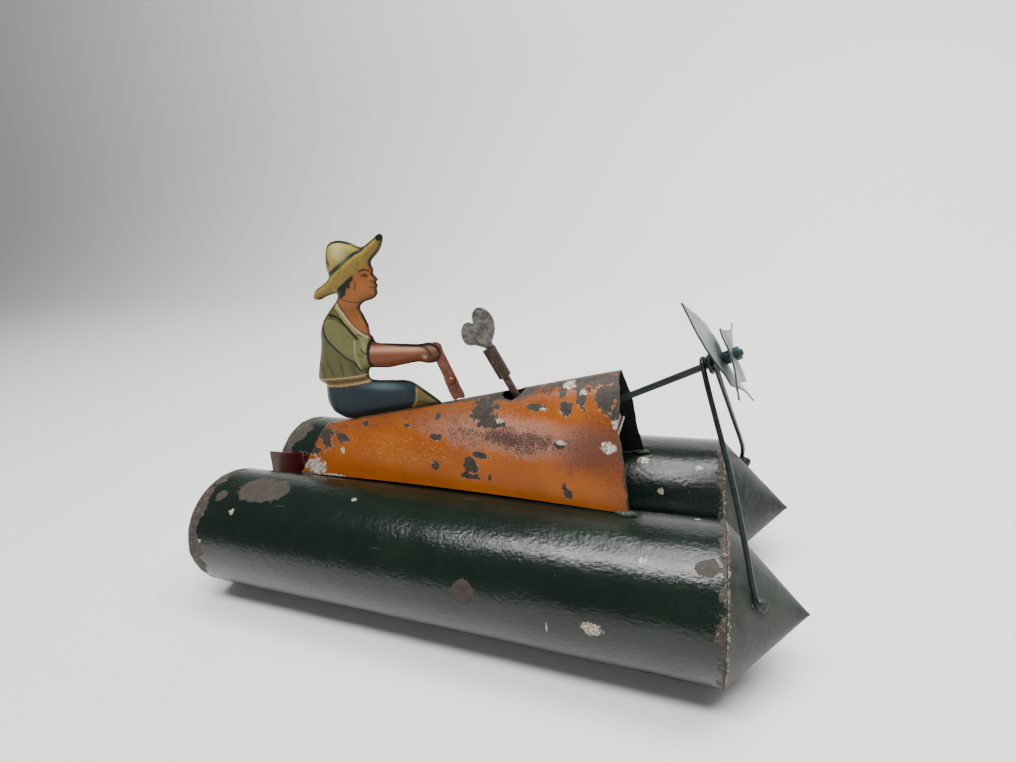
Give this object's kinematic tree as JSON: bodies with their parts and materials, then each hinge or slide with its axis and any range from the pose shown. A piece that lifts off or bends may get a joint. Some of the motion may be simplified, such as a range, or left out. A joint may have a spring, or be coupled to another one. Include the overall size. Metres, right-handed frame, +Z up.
{
  "type": "toy boat",
  "caption": "Clockwork tin toy boat: twin round floats, open orange cowl over a spring motor, air propeller on a slanting shaft, rudder and flat seated driver.",
  "frame": {"origin": "on the ground under the middle of the boat, centre of the bounding box's bottom face", "axes": "+X from stern to bow, +Y to port, +Z up"},
  "size_m": [0.234, 0.104, 0.1444],
  "materials": {
    "green_enamel": "very dark bottle-green gloss enamel, chipped",
    "green_matt": "dull dark grey-green paint, flaking at the seams",
    "orange_enamel": "orange gloss enamel with scratches and bare patches",
    "maroon_enamel": "dark maroon paint",
    "lever_enamel": "worn orange-brown paint",
    "printed_tin": "varnished printed tin in flat colours",
    "key_steel": "dull plated steel",
    "motor_steel": "plain steel with light rust",
    "motor_brass": "aged brass",
    "dark_rod": "dark green-black paint on steel wire",
    "propeller_tin": "pale grey-green paint on tin"
  },
  "bodies": {
    "hull": {"starboard_float_tube": "green_enamel", "starboard_stern_cap": "green_enamel", "starboard_nose_cone": "green_matt", "port_float_tube": "green_enamel", "port_stern_cap": "green_enamel", "port_nose_cone": "green_matt", "cowl": "orange_enamel", "tail_plate": "orange_enamel", "front_deck_strap": "green_matt", "rear_deck_strap": "green_matt", "front_motor_bracket": "motor_steel", "rear_motor_bracket": "motor_steel", "rudder_strap": "green_matt", "rudder_pin": "dark_rod", "upper_motor_plate": "motor_steel", "lower_motor_plate": "motor_steel", "rear_starboard_pillar": "motor_steel", "rear_port_pillar": "motor_steel", "front_starboard_pillar": "motor_steel", "front_port_pillar": "motor_steel", "front_shaft_bearing": "motor_steel", "rear_shaft_bearing": "motor_steel", "mainspring": "motor_steel", "propeller_stand": "dark_rod", "lever_bracket": "lever_enamel", "lever": "lever_enamel", "lever_rivet": "lever_enamel", "starboard_driver_half": "printed_tin", "port_driver_half": "printed_tin"},
    "propeller": {"propeller_shaft": "dark_rod", "shaft_pinion": "motor_brass", "rear_blade_strip": "propeller_tin", "front_blade_strip": "propeller_tin", "blade_spacer": "propeller_tin", "hub_nut": "propeller_tin"},
    "crown": {"crown_arbor": "motor_steel", "crown_pinion": "motor_brass", "crown_wheel": "motor_brass"},
    "second": {"second_arbor": "motor_steel", "second_pinion": "motor_brass", "second_wheel": "motor_brass"},
    "great": {"great_wheel": "motor_brass", "click_pin": "motor_steel"},
    "click": {"click": "motor_steel"},
    "key": {"winding_arbor": "motor_steel", "ratchet_wheel": "motor_brass", "key_sleeve": "key_steel", "key_bow": "key_steel"},
    "rudder": {"rudder_blade": "maroon_enamel"}
  },
  "joints": [
    {"name": "propeller_spin", "type": "hinge", "parent": "hull", "child": "propeller", "pos_m": [0.0272, 0, 0.06725], "axis": [0.9063, 0, 0.4226], "continuous": true},
    {"name": "crown_spin", "type": "hinge", "parent": "hull", "child": "crown", "pos_m": [0.0463, 0, 0.07616], "axis": [-0.4226, 0, 0.9063], "continuous": true},
    {"name": "second_spin", "type": "hinge", "parent": "hull", "child": "second", "pos_m": [0.03781, 0.004, 0.0722], "axis": [-0.4226, 0, 0.9063], "continuous": true},
    {"name": "great_spin", "type": "hinge", "parent": "hull", "child": "great", "pos_m": [0.0272, 0, 0.06725], "axis": [-0.4226, 0, 0.9063], "continuous": true},
    {"name": "key_winding", "type": "hinge", "parent": "great", "child": "key", "pos_m": [0.0272, 0, 0.06725], "axis": [-0.4226, 0, 0.9063], "range_deg": [-1800, 0]},
    {"name": "click_pivot", "type": "hinge", "parent": "great", "child": "click", "pos_m": [0.02565, -0.0074, 0.063], "axis": [-0.4226, 0, 0.9063], "range_deg": [-5, 5], "stiffness_Nm_per_rad": 0.0001},
    {"name": "rudder_turn", "type": "hinge", "parent": "hull", "child": "rudder", "pos_m": [-0.0912, 0, 0.0283], "axis": [0, 0, 1], "range_deg": [-8, 8]}
  ],
  "couplings": [
    {"joint": "crown_spin", "follows": "propeller_spin", "ratio": 0.36364},
    {"joint": "second_spin", "follows": "propeller_spin", "ratio": -0.11688},
    {"joint": "great_spin", "follows": "propeller_spin", "ratio": 0.029221}
  ]
}
